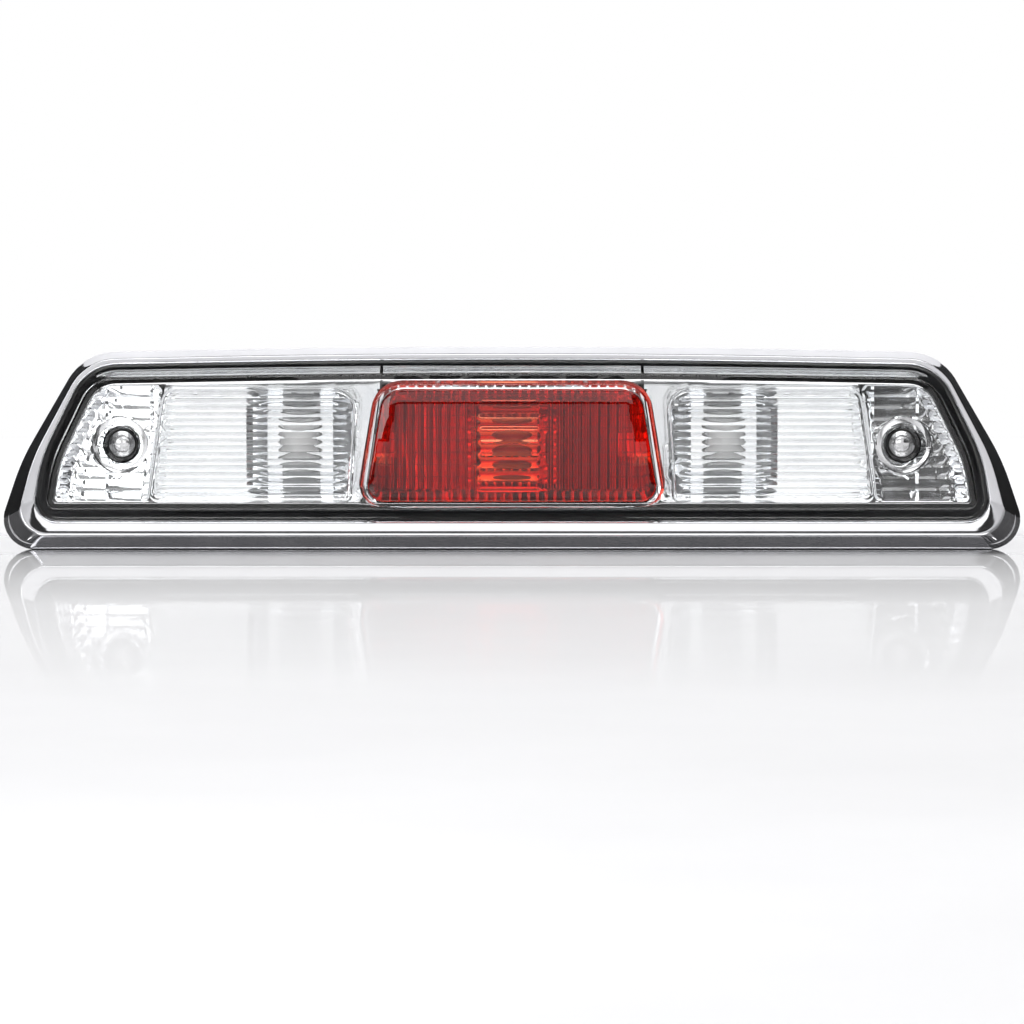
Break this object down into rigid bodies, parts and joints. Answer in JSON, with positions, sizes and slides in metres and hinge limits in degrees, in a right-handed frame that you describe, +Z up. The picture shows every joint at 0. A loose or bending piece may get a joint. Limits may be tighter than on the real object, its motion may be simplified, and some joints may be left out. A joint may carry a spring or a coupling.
{
  "type": "third brake light",
  "caption": "Third brake light with a red centre lens, a clear cargo light on each side, a chrome frame and a screw well at each end.",
  "frame": {"origin": "on the mounting plane, the back face of the gasket, midway between the two mounting screws' axes", "axes": "+X to the right seen from the front, along the lamp's length; +Y along the screws, from the lens back into the cab, so the lens faces -Y; +Z up"},
  "size_m": [0.4008, 0.0778, 0.0799],
  "materials": {
    "chrome_trim": "polished",
    "clear_lens": "gloss",
    "red_lens": "gloss",
    "sealant": "matte",
    "housing_plastic": "satin",
    "gasket_foam": "matte",
    "reflector_plating": "polished",
    "screw_steel": "polished",
    "washer_rubber": "matte",
    "sleeve_steel": "satin",
    "connector_plastic": "satin",
    "terminal_brass": "polished",
    "clip_plastic": "satin",
    "vent_rubber": "matte",
    "lead_sleeving": "satin",
    "holder_plastic": "satin",
    "seal_rubber": "matte",
    "bulb_glass": "gloss",
    "filament_metal": "satin",
    "contact_brass": "satin"
  },
  "bodies": {
    "lamp_body": {"bezel": "chrome_trim", "lens": "clear_lens", "brake_lens": "red_lens", "lens_seal": "sealant", "housing": "housing_plastic", "gasket": "gasket_foam", "brake_reflector": "reflector_plating", "cargo_reflector_left": "reflector_plating", "cargo_reflector_right": "reflector_plating", "end_reflector_left": "reflector_plating", "end_reflector_right": "reflector_plating", "mounting_screws": "screw_steel", "sealing_washers": "washer_rubber", "screw_sleeves": "sleeve_steel", "connector_header": "connector_plastic", "header_terminals": "terminal_brass", "harness_clips": "clip_plastic", "vent_cap": "vent_rubber", "brake_lead": "lead_sleeving", "cargo_lead_left": "lead_sleeving", "cargo_lead_right": "lead_sleeving"},
    "brake_bulb_holder": {"brake_holder": "holder_plastic", "brake_holder_seal": "seal_rubber", "brake_bulb": "bulb_glass", "brake_filament": "filament_metal", "brake_contacts": "contact_brass"},
    "cargo_left_bulb_holder": {"cargo_left_holder": "holder_plastic", "cargo_left_holder_seal": "seal_rubber", "cargo_left_bulb": "bulb_glass", "cargo_left_filament": "filament_metal", "cargo_left_contacts": "contact_brass"},
    "cargo_right_bulb_holder": {"cargo_right_holder": "holder_plastic", "cargo_right_holder_seal": "seal_rubber", "cargo_right_bulb": "bulb_glass", "cargo_right_filament": "filament_metal", "cargo_right_contacts": "contact_brass"}
  },
  "joints": [
    {"name": "brake_holder_twist", "type": "hinge", "parent": "lamp_body", "child": "brake_bulb_holder", "pos_m": [0, 0.0285, 0], "axis": [0, 1, 0], "range_deg": [0, 45]},
    {"name": "cargo_left_holder_twist", "type": "hinge", "parent": "lamp_body", "child": "cargo_left_bulb_holder", "pos_m": [-0.084, 0.0285, 0], "axis": [0, 1, 0], "range_deg": [0, 45]},
    {"name": "cargo_right_holder_twist", "type": "hinge", "parent": "lamp_body", "child": "cargo_right_bulb_holder", "pos_m": [0.084, 0.0285, 0], "axis": [0, 1, 0], "range_deg": [0, 45]}
  ]
}
